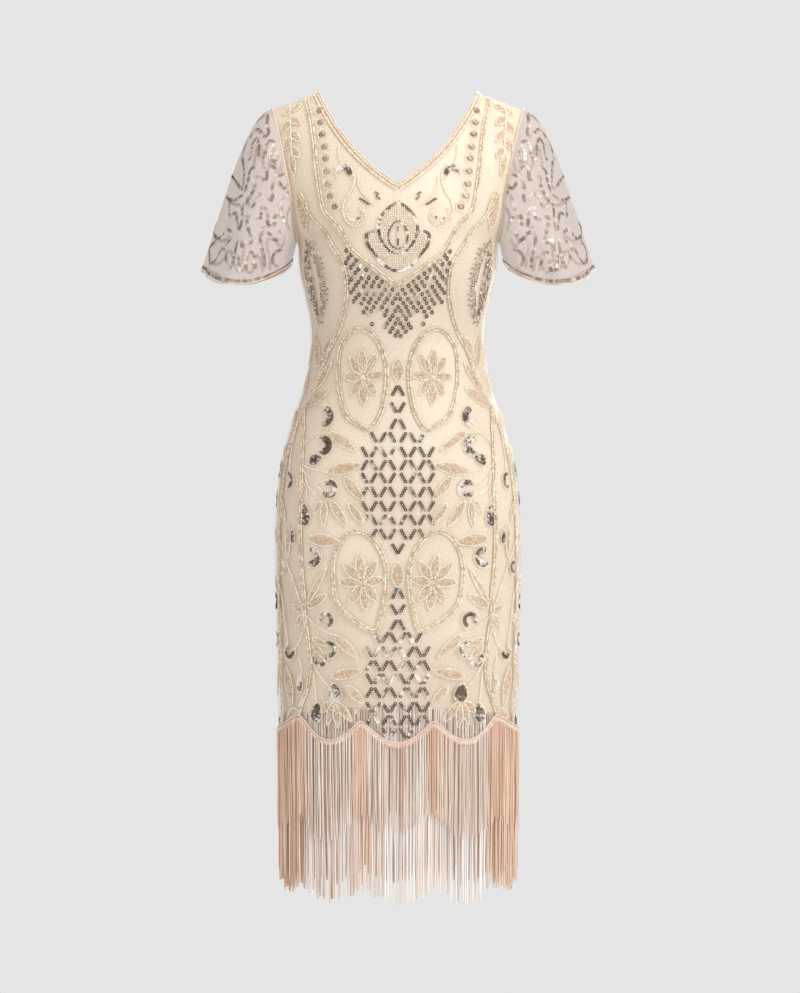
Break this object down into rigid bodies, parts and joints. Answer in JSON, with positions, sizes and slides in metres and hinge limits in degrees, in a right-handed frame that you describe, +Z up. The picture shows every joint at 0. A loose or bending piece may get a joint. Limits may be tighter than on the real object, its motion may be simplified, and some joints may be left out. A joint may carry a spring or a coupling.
{
  "type": "fringe dress",
  "caption": "V-necked knee-length dress, filled out with no wearer: lined net body, sheer bell sleeves, scalloped hem and hanging fringe.",
  "frame": {"origin": "between the wearer's shoulders, level with the neck ends of the shoulder seams, in the side seams' plane", "axes": "+X towards the wearer's left, -Y out of the dress's front, +Z up"},
  "size_m": [0.5852, 0.2683, 1.2058],
  "materials": {
    "net": "cream net with bead and sequin work",
    "lining": "plain smooth cream",
    "sleeve": "sheer net with sequin lines",
    "binding": "beaded edge",
    "fringe": "glossy peach yarn"
  },
  "bodies": {
    "root": {"front_overlay": "net", "back_overlay": "net", "front_lining": "lining", "back_lining": "lining", "front_neck_binding": "binding", "back_neck_binding": "binding", "left_sleeve": "sleeve", "right_sleeve": "sleeve", "left_sleeve_band": "binding", "right_sleeve_band": "binding", "outer_fringe": "fringe", "inner_fringe": "fringe"}
  },
  "joints": []
}
